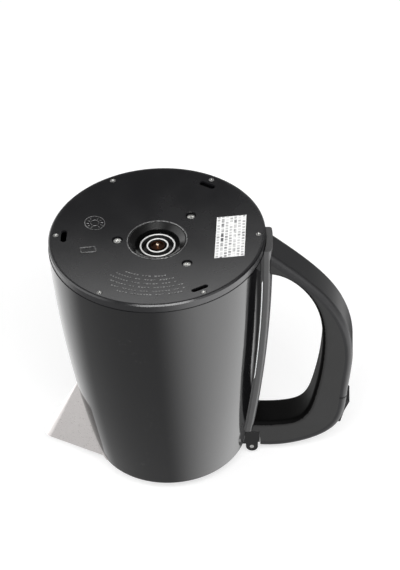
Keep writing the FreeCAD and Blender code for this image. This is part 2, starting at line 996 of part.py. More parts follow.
def spout_cone(inset):
    """Slanted V-shaped cone of the spout, moved in by an inset, standing on its tip."""
    top = collar_top - spout_lip_drop
    lean = math.radians(spout_half_angle)
    nose = spout_nose_radius - inset
    middle_x = -spout_reach + spout_nose_radius
    touch_x = middle_x - nose * math.sin(lean)
    touch_y = nose * math.cos(lean)
    inner_x = -rim_radius / 2
    inner_y = touch_y + (inner_x - touch_x) * math.tan(lean)
    nose_points = [at(touch_x, touch_y, top), at(middle_x - nose, 0, top), at(touch_x, -touch_y, top)]
    nose_arc = Part.Arc(*nose_points).toShape()
    rim = Part.Wire([
        nose_arc,
        Part.makeLine(at(touch_x, -touch_y, top), at(inner_x, -inner_y, top)),
        Part.makeLine(at(inner_x, -inner_y, top), at(inner_x, inner_y, top)),
        Part.makeLine(at(inner_x, inner_y, top), at(touch_x, touch_y, top)),
    ])
    tip = Part.Vertex(at(-wall_radius(spout_root) + 2 * inset, 0, spout_root + 1.5 * inset))
    return Part.makeLoft([tip, rim], True, True)


def spout():
    jug = jug_space(0, 0, collar_top)
    trough = spout_cone(0).cut([spout_cone(spout_wall), jug])
    front = Part.makeBox(reach_past, 2 * reach_past, 2 * rim_height, at(-reach_past, -reach_past, 0))
    skin = wall_layer(0, spout_flange_thickness, spout_root - spout_nose_radius, collar_top - spout_lip_drop)
    flange = skin.common(spout_cone(-spout_flange)).cut(spout_cone(spout_wall))
    return trough.common(front).fuse(flange).removeSplitter()


def filter_layer(inner, outer, border):
    """Curved sheet along the inside of the jug wall behind the spout."""
    top = rim_height - collar_spigot - fit_gap
    layer = wall_layer(inner, outer, filter_bottom + border, top - border)
    half_y = filter_half_width - border
    return layer.common(Part.makeBox(reach_past, 2 * half_y, rim_height, at(-reach_past, -half_y, 0)))


def filter_offsets():
    outer = -jug_wall - fit_gap
    return outer - filter_thickness, outer


def filter_screen():
    inner, outer = filter_offsets()
    middle = (inner + outer) / 2
    return filter_layer(middle - filter_mesh / 2, middle + filter_mesh / 2, filter_border / 2)


def filter_frame():
    inner, outer = filter_offsets()
    frame = filter_layer(inner, outer, 0)
    return frame.cut([filter_layer(inner - 1, outer + 1, filter_border), filter_screen()])


nodes = {
    "base_cover": base_cover,
    "rim_screws": rim_screws,
    "control_screws": control_screws,
    "rating_label": rating_label,
    "connector_housing": connector_housing,
    "connector_outer_ring": lambda: contact_ring(outer_ring_radius),
    "connector_inner_ring": lambda: contact_ring(inner_ring_radius),
    "connector_pin": connector_pin,
    "control_body": control_body,
    "bimetal_discs": bimetal_discs,
    "heating_element": heating_element,
    "heat_spreader": heat_spreader,
    "heating_plate": heating_plate,
    "plate_seal": plate_seal,
    "clamp_ring": clamp_ring,
    "body_shell": body_shell,
    "water_windows": water_windows,
    "handle_saddle": handle_saddle,
    "handle_grip": handle_grip,
    "handle_cover": handle_cover,
    "handle_top_cap": handle_top_cap,
    "handle_screws": handle_screws,
    "switch_rocker": switch_rocker,
    "switch_pin": switch_pin,
    "steam_switch": steam_switch,
    "lead_wires": lead_wires,
    "top_collar": top_collar,
    "lid_hinge_pin": lid_hinge_pin,
    "lid_cover": lid_cover,
    "lid_inner": lid_inner,
    "spout": spout,
    "filter_frame": filter_frame,
    "filter_screen": filter_screen,
}

os.makedirs("parts", exist_ok=True)
for name, make in nodes.items():
    shape = make()
    shape.exportStep(f"parts/{name}.step")
    print(name, len(shape.Solids), "solids", shape.isValid(), round(shape.Volume / 1000, 3), "cm3")
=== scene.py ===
# %% [markdown]
# # An upturned jug kettle
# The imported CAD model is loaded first. It stands upright in metres, with its axis on Z, its handle
# towards +X and its spout towards -X. The lesson dresses it: finishes for every moulding and metal part,
# then the small pieces that CAD leaves out, then a studio and a camera that looks at the underside.

# %% Load the frame
import math

import bpy
from mathutils import Matrix, Vector


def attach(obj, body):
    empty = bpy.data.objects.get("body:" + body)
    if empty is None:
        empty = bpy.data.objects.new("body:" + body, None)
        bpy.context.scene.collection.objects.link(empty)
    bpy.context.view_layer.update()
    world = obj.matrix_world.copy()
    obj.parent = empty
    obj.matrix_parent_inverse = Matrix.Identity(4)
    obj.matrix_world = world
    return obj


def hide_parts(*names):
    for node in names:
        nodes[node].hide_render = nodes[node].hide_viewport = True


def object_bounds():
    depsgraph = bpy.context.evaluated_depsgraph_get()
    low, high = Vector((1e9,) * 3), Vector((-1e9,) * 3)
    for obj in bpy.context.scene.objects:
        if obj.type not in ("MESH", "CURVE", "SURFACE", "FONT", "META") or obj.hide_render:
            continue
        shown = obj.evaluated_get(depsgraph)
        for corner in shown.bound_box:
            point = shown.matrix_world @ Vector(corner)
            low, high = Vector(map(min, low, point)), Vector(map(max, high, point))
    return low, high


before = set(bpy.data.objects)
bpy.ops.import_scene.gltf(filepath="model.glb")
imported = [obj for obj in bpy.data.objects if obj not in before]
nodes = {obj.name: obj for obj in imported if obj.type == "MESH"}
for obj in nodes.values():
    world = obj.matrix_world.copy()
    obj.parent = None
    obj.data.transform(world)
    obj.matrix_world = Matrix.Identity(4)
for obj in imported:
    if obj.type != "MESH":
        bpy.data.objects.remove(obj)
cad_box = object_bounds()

print("CAD nodes:", len(nodes))
print("CAD box:", [tuple(round(v, 4) for v in corner) for corner in cad_box])

# %% [markdown]
# ## Shared surface effects
# A moulded kettle shows the same few effects on many parts: a spark-eroded grain, faint hand smudges in
# the gloss, drawn lines in metal and settled dust. Each could be drawn again in every material. A node
# group is built once instead, and each material gives it its own scale. The groups put out masks and
# heights only, so the shader itself stays in the material.

# %% A helper for node groups


def effect_group(name, inputs, outputs):
    """A shader node group with float inputs {name: value} and float outputs, and its two end nodes."""
    group = bpy.data.node_groups.new(name, "ShaderNodeTree")
    for label, value in inputs.items():
        socket = group.interface.new_socket(label, in_out="INPUT", socket_type="NodeSocketFloat")
        socket.default_value = value
    for label in outputs:
        group.interface.new_socket(label, in_out="OUTPUT", socket_type="NodeSocketFloat")
    start = group.nodes.new("NodeGroupInput")
    end = group.nodes.new("NodeGroupOutput")
    return group, start, end


def math_node(tree, operation, first, second=0.0):
    """A Math node of two inputs, each a socket or a number. Returns its output."""
    node = tree.nodes.new("ShaderNodeMath")
    node.operation = operation
    for socket, value in zip(node.inputs, (first, second)):
        if isinstance(value, (int, float)):
            socket.default_value = value
        else:
            tree.links.new(value, socket)
    return node.outputs[0]


def noise(tree, vector, scale, detail=2.0, roughness=0.5):
    """A Noise Texture on a vector socket, with a number or a socket for its scale. Returns its value."""
    node = tree.nodes.new("ShaderNodeTexNoise")
    tree.links.new(vector, node.inputs["Vector"])
    if isinstance(scale, (int, float)):
        node.inputs["Scale"].default_value = scale
    else:
        tree.links.new(scale, node.inputs["Scale"])
    node.inputs["Detail"].default_value = detail
    node.inputs["Roughness"].default_value = roughness
    return node.outputs["Fac"]


def spread(tree, value, low, high):
    """Stretches a value so that low becomes 0 and high becomes 1, and clips it there."""
    node = tree.nodes.new("ShaderNodeMapRange")
    tree.links.new(value, node.inputs["Value"])
    node.inputs["From Min"].default_value = low
    node.inputs["From Max"].default_value = high
    return node.outputs["Result"]


def object_place(tree):
    """The place on the piece, in its own coordinates."""
    return tree.nodes.new("ShaderNodeTexCoord").outputs["Object"]


def object_axes(tree):
    """The same place as its X, Y and Z."""
    apart = tree.nodes.new("ShaderNodeSeparateXYZ")
    tree.links.new(object_place(tree), apart.inputs[0])
    return apart.outputs


# %% Moulded grain, smudges, drawn lines and dust
grain_group, start, end = effect_group("moulded_grain", {"Scale": 900.0}, ["Height", "Mask"])
place = object_place(grain_group)
pebble = noise(grain_group, place, start.outputs["Scale"], detail=3.0, roughness=0.6)
patch = noise(grain_group, place, 38.0, detail=2.0)
grain_group.links.new(pebble, end.inputs["Height"])
grain_group.links.new(math_node(grain_group, "MULTIPLY", spread(grain_group, pebble, 0.35, 0.7),
                                spread(grain_group, patch, 0.2, 0.8)), end.inputs["Mask"])

smudge_group, start, end = effect_group("hand_smudges", {"Scale": 22.0}, ["Mask", "Ripple"])
place = object_place(smudge_group)
broad = noise(smudge_group, place, start.outputs["Scale"], detail=4.0, roughness=0.62)
smudge_group.links.new(spread(smudge_group, broad, 0.42, 0.72), end.inputs["Mask"])
smudge_group.links.new(noise(smudge_group, place, 34.0, detail=0.0), end.inputs["Ripple"])

drawn_group, start, end = effect_group(
    "drawn_lines", {"Scale": 60.0, "Stretch": 30.0}, ["Height", "Mask"])
axes = object_axes(drawn_group)
drawn_out = drawn_group.nodes.new("ShaderNodeCombineXYZ")
for way in ("X", "Z"):
    drawn_group.links.new(axes[way], drawn_out.inputs[way])
drawn_group.links.new(
    math_node(drawn_group, "DIVIDE", axes["Y"], start.outputs["Stretch"]), drawn_out.inputs["Y"])
lines = noise(drawn_group, drawn_out.outputs[0], start.outputs["Scale"], detail=5.0, roughness=0.7)
drawn_group.links.new(lines, end.inputs["Height"])
drawn_group.links.new(spread(drawn_group, lines, 0.3, 0.7), end.inputs["Mask"])

dust_group, start, end = effect_group("settled_dust", {"Scale": 420.0}, ["Mask"])
place = object_place(dust_group)
specks = spread(dust_group, noise(dust_group, place, start.outputs["Scale"], detail=1.0), 0.66, 0.78)
drift = spread(dust_group, noise(dust_group, place, 26.0, detail=3.0), 0.45, 0.75)
dust_group.links.new(math_node(dust_group, "MULTIPLY", specks, drift), end.inputs["Mask"])
print("Effect groups:", [g.name for g in bpy.data.node_groups])

# %% [markdown]
# ## Finishes
# Nearly all of the kettle is black polypropylene, and the photograph tells its parts apart by gloss
# alone: the jug is polished, the base cover and handle are satin. So each black gets its own roughness
# and grain, and the colour hardly changes. Metals differ in tint and in how their lines run.

# %% A helper for finishes


class Finish:
    """A material with a Principled shader, and short ways to feed it."""

    def __init__(self, name, **sockets):
        self.material = bpy.data.materials.new(name)
        self.material.use_nodes = True
        self.tree = self.material.node_tree
        self.shader = self.tree.nodes["Principled BSDF"]
        for label, value in sockets.items():
            self.shader.inputs[label.replace("_", " ")].default_value = value
        print("Finish:", name)

    def effect(self, group, **values):
        """Places a shared effect in this material with its own values."""
        node = self.tree.nodes.new("ShaderNodeGroup")
        node.node_tree = group
        for label, value in values.items():
            node.inputs[label].default_value = value
        return node.outputs

    def colours(self, mask, low, high):
        """Base colour that runs from low to high with a mask."""
        node = self.tree.nodes.new("ShaderNodeMix")
        node.data_type = "RGBA"
        self.tree.links.new(mask, node.inputs["Factor"])
        node.inputs["A"].default_value = (*low, 1.0)
        node.inputs["B"].default_value = (*high, 1.0)
        self.tree.links.new(node.outputs["Result"], self.shader.inputs["Base Color"])

    def roughness(self, mask, low, high):
        """Roughness that runs from low to high with a mask."""
        node = self.tree.nodes.new("ShaderNodeMapRange")
        self.tree.links.new(mask, node.inputs["Value"])
        node.inputs["To Min"].default_value = low
        node.inputs["To Max"].default_value = high
        self.tree.links.new(node.outputs["Result"], self.shader.inputs["Roughness"])

    def bump(self, height, strength, painted_wall_shade):
        """Bump of a height that is depth metres deep."""
        node = self.tree.nodes.new("ShaderNodeBump")
        node.inputs["Strength"].default_value = strength
        node.inputs["Distance"].default_value = painted_wall_shade
        self.tree.links.new(height, node.inputs["Height"])
        self.tree.links.new(node.outputs["Normal"], self.shader.inputs["Normal"])


def moulded(name, low, high, rough, grain, specular=0.5):
    """A moulding: grain (scale, depth) in its bump and colour, smudges in its gloss; on raised marks the
    colour mask paints glints.
    """
    grain_scale, grain_depth = grain
    finish = Finish(name, Specular_IOR_Level=specular)
    grain_and_glints = finish.effect(grain_group, Scale=grain_scale)
    smudge = finish.effect(smudge_group)
    finish.colours(grain_and_glints["Mask"], low, high)
    finish.roughness(smudge["Mask"], *rough)
    finish.bump(grain_and_glints["Height"], 0.35, grain_depth)
    return finish.material


def drawn_metal(name, low, high, rough, drawn):
    """A metal whose lines (scale, stretch, depth) run along Y."""
    line_scale, line_stretch, line_depth = drawn
    finish = Finish(name, Metallic=1.0)
    lines = finish.effect(drawn_group, Scale=line_scale, Stretch=line_stretch)
    finish.colours(lines["Mask"], low, high)
    finish.roughness(lines["Mask"], *rough)
    finish.bump(lines["Height"], 0.3, line_depth)
    return finish.material


# %% Polished jug
jug_gloss = Finish("jug_gloss", IOR=1.5)
smudge = jug_gloss.effect(smudge_group, Scale=16.0)
dust = jug_gloss.effect(dust_group, Scale=520.0)
jug_gloss.colours(dust["Mask"], (0.0045, 0.0045, 0.005), (0.03, 0.03, 0.03))
jug_gloss.roughness(smudge["Mask"], 0.07, 0.13)
jug_gloss.bump(smudge["Ripple"], 0.08, 0.0004)
jug_gloss = jug_gloss.material

# %% Black mouldings
base_satin = moulded(
    "base_satin", (0.007, 0.007, 0.008), (0.015, 0.015, 0.016),
    rough=(0.22, 0.32), grain=(1500.0, 0.00004))
handle_satin = moulded(
    "handle_satin", (0.016, 0.016, 0.017), (0.026, 0.026, 0.027),
    rough=(0.34, 0.44), grain=(1300.0, 0.00004), specular=0.32)
grip_black = moulded(
    "grip_black", (0.015, 0.015, 0.015), (0.022, 0.022, 0.022),
    rough=(0.34, 0.42), grain=(1300.0, 0.00003), specular=0.5)
# The grip's inside is dull, and its colour is darkened nearly to black as painted shade where it faces the
# jug.
grip_inside_painted_shade = moulded(
    "grip_inside_painted_shade", (0.0015, 0.0015, 0.0015), (0.003, 0.003, 0.003),
    rough=(0.62, 0.72), grain=(1300.0, 0.00003), specular=0.06)
strip_satin = moulded(
    "strip_satin", (0.062, 0.062, 0.063), (0.080, 0.080, 0.081),
    rough=(0.30, 0.40), grain=(1300.0, 0.00003))
connector_black = moulded(
    "connector_black", (0.003, 0.003, 0.003), (0.008, 0.008, 0.008),
    rough=(0.20, 0.32), grain=(1100.0, 0.00003))
lid_plastic = moulded(
    "lid_plastic", (0.010, 0.010, 0.011), (0.022, 0.022, 0.023),
    rough=(0.34, 0.46), grain=(1000.0, 0.00005))

# The raised marks are glossy black, and the grain mask paints broken grey patches up to 0.42 on them as
# painted glints.
raised_painted_glints = moulded(
    "raised_painted_glints", (0.02, 0.02, 0.02), (0.42, 0.42, 0.42),
    rough=(0.10, 0.18), grain=(620.0, 0.00002), specular=0.8)

# %% Pale mouldings and rubber
nylon = moulded(
    "control_nylon", (0.55, 0.53, 0.48), (0.66, 0.64, 0.58),
    rough=(0.40, 0.55), grain=(800.0, 0.00005))
silicone = moulded(
    "silicone_rubber", (0.44, 0.42, 0.39), (0.52, 0.50, 0.47),
    rough=(0.50, 0.65), grain=(700.0, 0.00004))

# %% Metals
dull_zinc = drawn_metal(
    "dull_zinc", (0.34, 0.34, 0.33), (0.66, 0.66, 0.65),
    rough=(0.20, 0.32), drawn=(900.0, 3.0, 0.00004))
bright_zinc = drawn_metal(
    "bright_zinc", (0.55, 0.55, 0.53), (0.82, 0.82, 0.80),
    rough=(0.20, 0.34), drawn=(900.0, 3.0, 0.00004))
copper_pin = drawn_metal(
    "copper_pin", (0.60, 0.42, 0.30), (0.85, 0.70, 0.55),
    rough=(0.20, 0.32), drawn=(900.0, 2.0, 0.00002))
copper_cup = drawn_metal(
    "copper_cup", (0.030, 0.012, 0.006), (0.075, 0.032, 0.016),
    rough=(0.26, 0.38), drawn=(700.0, 2.0, 0.00002))
bimetal = drawn_metal(
    "bare_bimetal", (0.50, 0.38, 0.24), (0.66, 0.52, 0.36),
    rough=(0.28, 0.42), drawn=(500.0, 20.0, 0.00003))
sheath = drawn_metal(
    "cast_aluminium", (0.50, 0.50, 0.51), (0.70, 0.70, 0.71),
    rough=(0.38, 0.55), drawn=(600.0, 1.0, 0.00006))
steel = drawn_metal(
    "brushed_steel", (0.52, 0.52, 0.51), (0.70, 0.70, 0.69),
    rough=(0.20, 0.34), drawn=(500.0, 40.0, 0.00003))
spout_steel = drawn_metal(
    "spout_steel", (0.66, 0.63, 0.62), (0.73, 0.70, 0.69),
    rough=(0.26, 0.33), drawn=(900.0, 30.0, 0.00001))

# %% [markdown]
# ## Two finishes that change along an axis
# The faces of the contact rings are plated white, and their walls are painted dark as shade. The level
# window is milky beside the handle strip, and towards its far edge it is painted black as shade. Each
# could be split in two pieces. One coordinate is enough instead: a mask of Z tells faces from the
# shaded walls, and a mask of the distance from the handle's plane parts milk from the painted shade.

# %% Contact rings
ring_face, ring_wall = 0.0096, 0.0101
silver_contact = Finish("silver_contact", Metallic=0.35)
lines = silver_contact.effect(drawn_group, Scale=700.0, Stretch=2.0)
silver_contact.roughness(lines["Mask"], 0.44, 0.54)
# The walls below the ring faces are painted dark as shade; the faces keep their plated white.
painted_wall_shade = spread(silver_contact.tree, object_axes(silver_contact.tree)["Z"], ring_face, ring_wall)
silver_contact.colours(painted_wall_shade, (0.93, 0.93, 0.92), (0.03, 0.03, 0.03))
silver_contact = silver_contact.material
print("Ring faces end at z =", ring_face)

# %% Level window
milk_edge, black_edge = 0.0194, 0.0197
window_milk = Finish("window_milk", Transmission_Weight=0.12, IOR=1.46, Specular_IOR_Level=0.12)
smudge = window_milk.effect(smudge_group, Scale=30.0)
window_milk.roughness(smudge["Mask"], 0.18, 0.30)
aside = math_node(window_milk.tree, "ABSOLUTE", object_axes(window_milk.tree)["Y"])
# Towards its far edge from the handle's plane the milky window is painted black as shade.
painted_far_shade = spread(window_milk.tree, aside, milk_edge, black_edge)
window_milk.colours(painted_far_shade, (0.95, 0.97, 0.97), (0.004, 0.004, 0.004))
window_milk = window_milk.material
print("Window is milky up to", milk_edge, "from the handle's plane")

# %% [markdown]
# ## Filter mesh
# Behind the spout a fine steel mesh holds back scale. Weaving it from wires would take thousands of small
# tubes that nobody sees one by one. So the mesh stays one sheet, and its holes are cut by the finish: two
# sets of stripes over Y and Z drive Alpha, and what lies under neither stripe is open.

# %% Woven mesh
mesh_pitch, wire_share = 0.0011, 0.45
filter_weave = Finish("filter_weave", Metallic=1.0)
tree = filter_weave.tree
lines = filter_weave.effect(drawn_group, Scale=900.0, Stretch=2.0)
filter_weave.colours(lines["Mask"], (0.45, 0.45, 0.44), (0.66, 0.66, 0.65))
filter_weave.roughness(lines["Mask"], 0.24, 0.36)
axes = object_axes(tree)
stripes = []
for way in ("Y", "Z"):
    steps = math_node(tree, "DIVIDE", axes[way], mesh_pitch)
    stripes.append(math_node(tree, "LESS_THAN", math_node(tree, "FRACT", steps), wire_share))
tree.links.new(math_node(tree, "MAXIMUM", *stripes), filter_weave.shader.inputs["Alpha"])
filter_weave = filter_weave.material
print("Mesh wires are", round(mesh_pitch * wire_share * 1000, 2), "mm wide")

# %% [markdown]
# ## Rating label
# The label is a white sticker with rows of plain grey bars. Each bar could be a thin plate of its own. A
# Brick Texture draws them all in one node instead: its bricks are the bars and its mortar is the white paper
# between them. A Mapping node turns the rows along the label, and a fade makes some bars paler.

# %% Label with plain bars
label_print = Finish("label_print", Roughness=0.42)
tree = label_print.tree
turned_rows = tree.nodes.new("ShaderNodeMapping")
turned_rows.inputs["Rotation"].default_value = (0.0, 0.0, math.radians(90))
tree.links.new(object_place(tree), turned_rows.inputs["Vector"])
bars = tree.nodes.new("ShaderNodeTexBrick")
tree.links.new(turned_rows.outputs["Vector"], bars.inputs["Vector"])
bars.offset, bars.offset_frequency = 0.37, 2
bars.squash, bars.squash_frequency = 1.7, 3
bar_values = {
    "Color1": (0.07, 0.07, 0.08, 1.0), "Color2": (0.62, 0.62, 0.62, 1.0), "Mortar": (0.96, 0.96, 0.95, 1.0),
    "Scale": 1.0, "Mortar Size": 0.00055, "Mortar Smooth": 0.15, "Bias": 0.0,
    "Brick Width": 0.0030, "Row Height": 0.0029,
}
for label, value in bar_values.items():
    bars.inputs[label].default_value = value
fade = label_print.effect(smudge_group, Scale=160.0)
worn = tree.nodes.new("ShaderNodeMix")
worn.data_type = "RGBA"
tree.links.new(fade["Mask"], worn.inputs["Factor"])
tree.links.new(bars.outputs["Color"], worn.inputs["A"])
worn.inputs["B"].default_value = bar_values["Mortar"]
tree.links.new(worn.outputs["Result"], label_print.shader.inputs["Base Color"])
label_print = label_print.material
print("Bar rows are", bar_values["Row Height"], "apart")

# %% [markdown]
# ## Dressing the CAD nodes
# Every node of the frame gets one of these finishes, also those that no view shows, because a library part
# can be taken apart. A table from node to finish keeps this in one place, and a name that is missing stops
# the script.

# %% Dress every CAD node
finishes = {
    "base_cover": base_satin, "rim_screws": dull_zinc, "control_screws": bright_zinc,
    "rating_label": label_print,
    "connector_housing": connector_black, "connector_outer_ring": silver_contact,
    "connector_inner_ring": silver_contact, "connector_pin": copper_pin, "control_body": nylon,
    "bimetal_discs": bimetal, "heating_element": sheath, "heat_spreader": sheath, "heating_plate": steel,
    "plate_seal": silicone, "clamp_ring": steel, "body_shell": jug_gloss, "water_windows": window_milk,
    "handle_saddle": strip_satin, "handle_grip": grip_black, "handle_cover": handle_satin,
    "handle_top_cap": handle_satin, "handle_screws": bright_zinc, "switch_rocker": handle_satin,
    "switch_pin": steel, "steam_switch": nylon, "lead_wires": silicone, "top_collar": jug_gloss,
    "lid_hinge_pin": steel, "lid_cover": jug_gloss, "lid_inner": lid_plastic, "spout": spout_steel,
    "filter_frame": lid_plastic, "filter_screen": filter_weave,
}
for name, node in nodes.items():
    node.data.materials.clear()
    node.data.materials.append(finishes[name])
print("Dressed nodes:", len(finishes))

# %% [markdown]
# ## Making pieces by operators
# An operator acts on whatever is selected, and the CAD nodes are selected after loading. So every piece
# starts by taking itself alone. At the end its place goes into its mesh, it gets its finish, and it rides on
# its body. Anything that repeats is modelled once and copied, each copy with its own mesh.

# %% Helpers for new pieces


def start_piece():
    """Leaves edit mode and deselects everything, so that the next operator acts on the new piece alone."""
    if bpy.context.object and bpy.context.object.mode != "OBJECT":
        bpy.ops.object.mode_set(mode="OBJECT")
    bpy.ops.object.select_all(action="DESELECT")


def take(piece):
    """Makes a piece the only one selected, and active."""
    start_piece()
    piece.select_set(True)
    bpy.context.view_layer.objects.active = piece


def edit_all():
    """Edit mode on the active piece, with its whole mesh selected."""
    bpy.ops.object.mode_set(mode="EDIT")
    bpy.ops.mesh.select_all(action="SELECT")


def settle(piece, name, finish, body="kettle", angle=35.0):
    """Puts a piece's place into its mesh, smooths it, dresses it and lets it ride on its body."""
    take(piece)
    bpy.ops.object.transform_apply(location=True, rotation=True, scale=True)
    bpy.ops.object.shade_smooth_by_angle(angle=math.radians(angle))
    piece.name = name
    piece.data.materials.clear()
    piece.data.materials.append(finish)
    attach(piece, body)
    print(name, "faces:", len(piece.data.polygons))


def joined_copies(pattern, places):
    """Copies a pattern to a list of matrices, each with its own mesh, and joins the copies to one piece."""
    start_piece()
    for matrix in places:
        twin = pattern.copy()
        twin.data = pattern.data.copy()
        bpy.context.collection.objects.link(twin)
        twin.matrix_world = matrix
        twin.select_set(True)
        bpy.context.view_layer.objects.active = twin
    bpy.data.objects.remove(pattern)
    bpy.ops.object.join()
    return bpy.context.object


def bevelled_block(length, width, height, edge):
    """A block round the origin with its edges cut off by a width."""
    start_piece()
    bpy.ops.mesh.primitive_cube_add(size=1.0)
    piece = bpy.context.object
    piece.scale = (length, width, height)
    bpy.ops.object.transform_apply(scale=True)
    edit_all()
    bpy.ops.mesh.bevel(offset=edge, segments=1, affect="EDGES")
    bpy.ops.object.mode_set(mode="OBJECT")
    return piece


# %% [markdown]
# ## Softened edges
# A moulding has no sharp edges: each catches a thin line of light, and where two mouldings meet, their two
# round edges make the seam. The CAD nodes are sharp there. A copy of a node is merged, because the node's
# mesh is loose triangles, and a Bevel modifier that looks only at real corners rounds it. A Weighted Normal
# modifier then keeps the large faces as flat as they were.

# %% Rounded copies of the mouldings


def softened(node_name, width, finish, body="kettle", segments=2):
    """A copy of a CAD node with its corners rounded by a width, which stands for the node."""
    corner = 38.0
    piece = bpy.data.objects.new(node_name, nodes[node_name].data.copy())
    bpy.context.collection.objects.link(piece)
    take(piece)
    edit_all()
    bpy.ops.mesh.remove_doubles(threshold=0.000002)
    bpy.ops.mesh.dissolve_limited(angle_limit=math.radians(0.02))
    bpy.ops.object.mode_set(mode="OBJECT")
    rounding = piece.modifiers.new("rounding", "BEVEL")
    rounding.width = width
    rounding.segments = segments
    rounding.limit_method = "ANGLE"
    rounding.angle_limit = math.radians(corner)
    rounding.miter_outer = "MITER_ARC"
    bpy.ops.object.modifier_apply(modifier=rounding.name)
    settle(piece, node_name + "_soft", finish, body, angle=corner)
    even = piece.modifiers.new("even_faces", "WEIGHTED_NORMAL")
    even.weight = 100
    even.keep_sharp = True
    bpy.ops.object.modifier_apply(modifier=even.name)
    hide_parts(node_name)
    return piece


softened("connector_outer_ring", 0.00050, silver_contact, segments=4)
softened("connector_inner_ring", 0.00050, silver_contact, segments=4)
softened("connector_housing", 0.00025, connector_black)
softened("handle_cover", 0.00035, handle_satin)
grip = softened("handle_grip", 0.00035, grip_black)
softened("handle_top_cap", 0.00035, handle_satin)
softened("handle_saddle", 0.00030, strip_satin)
softened("switch_rocker", 0.00040, handle_satin, body="rocker")
softened("top_collar", 0.00030, jug_gloss)

# %% [markdown]
# ## Dull inside of the grip
# The side of the grip that the fingers hold is dull, and its colour is darkened nearly to black as painted
# shade, while its flanks are satin. The two could be masked in one material by position, but the loop
# curves. A second material on the faces that look across the loop, and not to the side, follows the curve
# by itself.

# %% Dull faces of the grip, darkened as painted shade
flank = 0.9
grip.data.materials.append(grip_inside_painted_shade)
dull_shaded_faces = [face for face in grip.data.polygons if abs(face.normal.y) < flank]
for face in dull_shaded_faces:
    face.material_index = 1
print("Dull faces:", len(dull_shaded_faces), "of", len(grip.data.polygons))

# %% [markdown]
# ## Sunk control screws
# The three screws round the contact sit deep in their holes, so a dark ring shows round each bright head.
# A new screw could be turned from a cylinder, but the CAD screw already has its cross. So a copy is kept,
# and each head is selected by its place and made smaller and flatter, towards the face that it clamps.

# %% Smaller heads
screw_centre, screw_circle, screw_turns = 0.0039, 0.0315, (180, 55, -55)
head_seat, head_reach, seat_margin = 0.0068, 0.0034, 0.00001
head_shrink = (0.88, 0.88, 0.62)
screws = softened("control_screws", 0.00015, bright_zinc)
for turn in screw_turns:
    x = screw_centre + screw_circle * math.cos(math.radians(turn))
    y = screw_circle * math.sin(math.radians(turn))
    take(screws)
    bpy.ops.object.mode_set(mode="EDIT")
    bpy.ops.mesh.select_all(action="DESELECT")
    bpy.ops.object.mode_set(mode="OBJECT")
    for point in screws.data.vertices:
        near = math.hypot(point.co.x - x, point.co.y - y) < head_reach
        point.select = near and point.co.z < head_seat + seat_margin
    bpy.ops.object.mode_set(mode="EDIT")
    bpy.ops.transform.resize(value=head_shrink, center_override=(x, y, head_seat))
    bpy.ops.object.mode_set(mode="OBJECT")
print("Screw heads made smaller:", len(screw_turns))

# %% [markdown]
# ## Raised marks on the underside
# The underside carries raised moulding: rows of small dashes on arcs near the front rim, a round date dial
# and a plain frame beside it. They could be bump in the material, but raised edges catch the light, so they
# are real. The dish slopes, so each mark takes the height and the tilt of the dish where it lies.

# %% Where the dish is
dish_radius, dish_lip, dish_depth = 0.0728, 0.0215, 0.005
sphere_drop = (dish_radius ** 2 - dish_lip ** 2 - dish_depth ** 2) / (2 * dish_depth)
sphere_radius = math.hypot(dish_radius, sphere_drop)


def on_dish(radius, angle):
    """Matrix on the dish's underside: x points round the axis, y inwards and z out of the surface, down."""
    height = math.sqrt(sphere_radius ** 2 - radius ** 2) - sphere_drop
    around = Matrix.Rotation(angle, 4, "Z")
    here = Matrix.Translation((radius, 0, height))
    lean = Matrix.Rotation(math.asin(radius / sphere_radius), 4, "Y")
    lie = Matrix.Rotation(math.radians(90), 4, "Z") @ Matrix.Rotation(math.pi, 4, "Y")
    return around @ here @ lean @ lie


print("Dish sphere radius:", round(sphere_radius, 4))

# %% One raised dash, copied along arcs
dash = bevelled_block(length=0.0016, width=0.0012, height=0.00045, edge=0.00018)
row_radii = (0.0400, 0.0445, 0.0490, 0.0535, 0.0580, 0.0620)
row_ends = ((76, 118), (70, 124), (70, 126), (68, 122), (68, 118), (70, 112))
dash_pitch = 0.0021
group_lengths = (5, 3, 6, 2, 4, 7, 3)
places = []
group = 0
for radius, (first, last) in zip(row_radii, row_ends):
    angle, left = math.radians(last), group_lengths[group % len(group_lengths)]
    while angle > math.radians(first):
        if left == 0:
            group += 1
            left = group_lengths[group % len(group_lengths)]
        else:
            places.append(on_dish(radius, angle))
            left -= 1
        angle -= dash_pitch / radius
settle(joined_copies(dash, places), "raised_rows", raised_painted_glints)
print("Raised dashes:", len(places))

# %% Date dial: two rings and ten ticks
dial_radius, dial_angle = 0.0474, math.radians(200.4)
dial_size, ring_thickness, inner_share, tick_share = 0.0070, 0.00035, 0.42, 0.72
long_tick, short_tick, tick_width, tick_height, tick_edge = 0.0022, 0.0014, 0.0006, 0.0007, 0.00012
long_turns, short_turns = (0, 90, 180, 270), (60, 120, 150, 240, 300, 330)
start_piece()
bpy.ops.mesh.primitive_torus_add(
    major_radius=dial_size, minor_radius=ring_thickness, major_segments=48, minor_segments=8)
dial = bpy.context.object
edit_all()
bpy.ops.mesh.duplicate()
bpy.ops.transform.resize(value=(inner_share, inner_share, 1.0))
bpy.ops.object.mode_set(mode="OBJECT")

outwards = Matrix.Translation((dial_size * tick_share, 0, 0))
parts_of_dial = [dial]
for length, turns in ((long_tick, long_turns), (short_tick, short_turns)):
    tick = bevelled_block(length, tick_width, tick_height, tick_edge)
    places = [Matrix.Rotation(math.radians(turn), 4, "Z") @ outwards for turn in turns]
    parts_of_dial.append(joined_copies(tick, places))
start_piece()
for piece in parts_of_dial:
    piece.select_set(True)
bpy.context.view_layer.objects.active = dial
bpy.ops.object.join()
dial.matrix_world = on_dish(dial_radius, dial_angle)
settle(dial, "date_dial", raised_painted_glints)

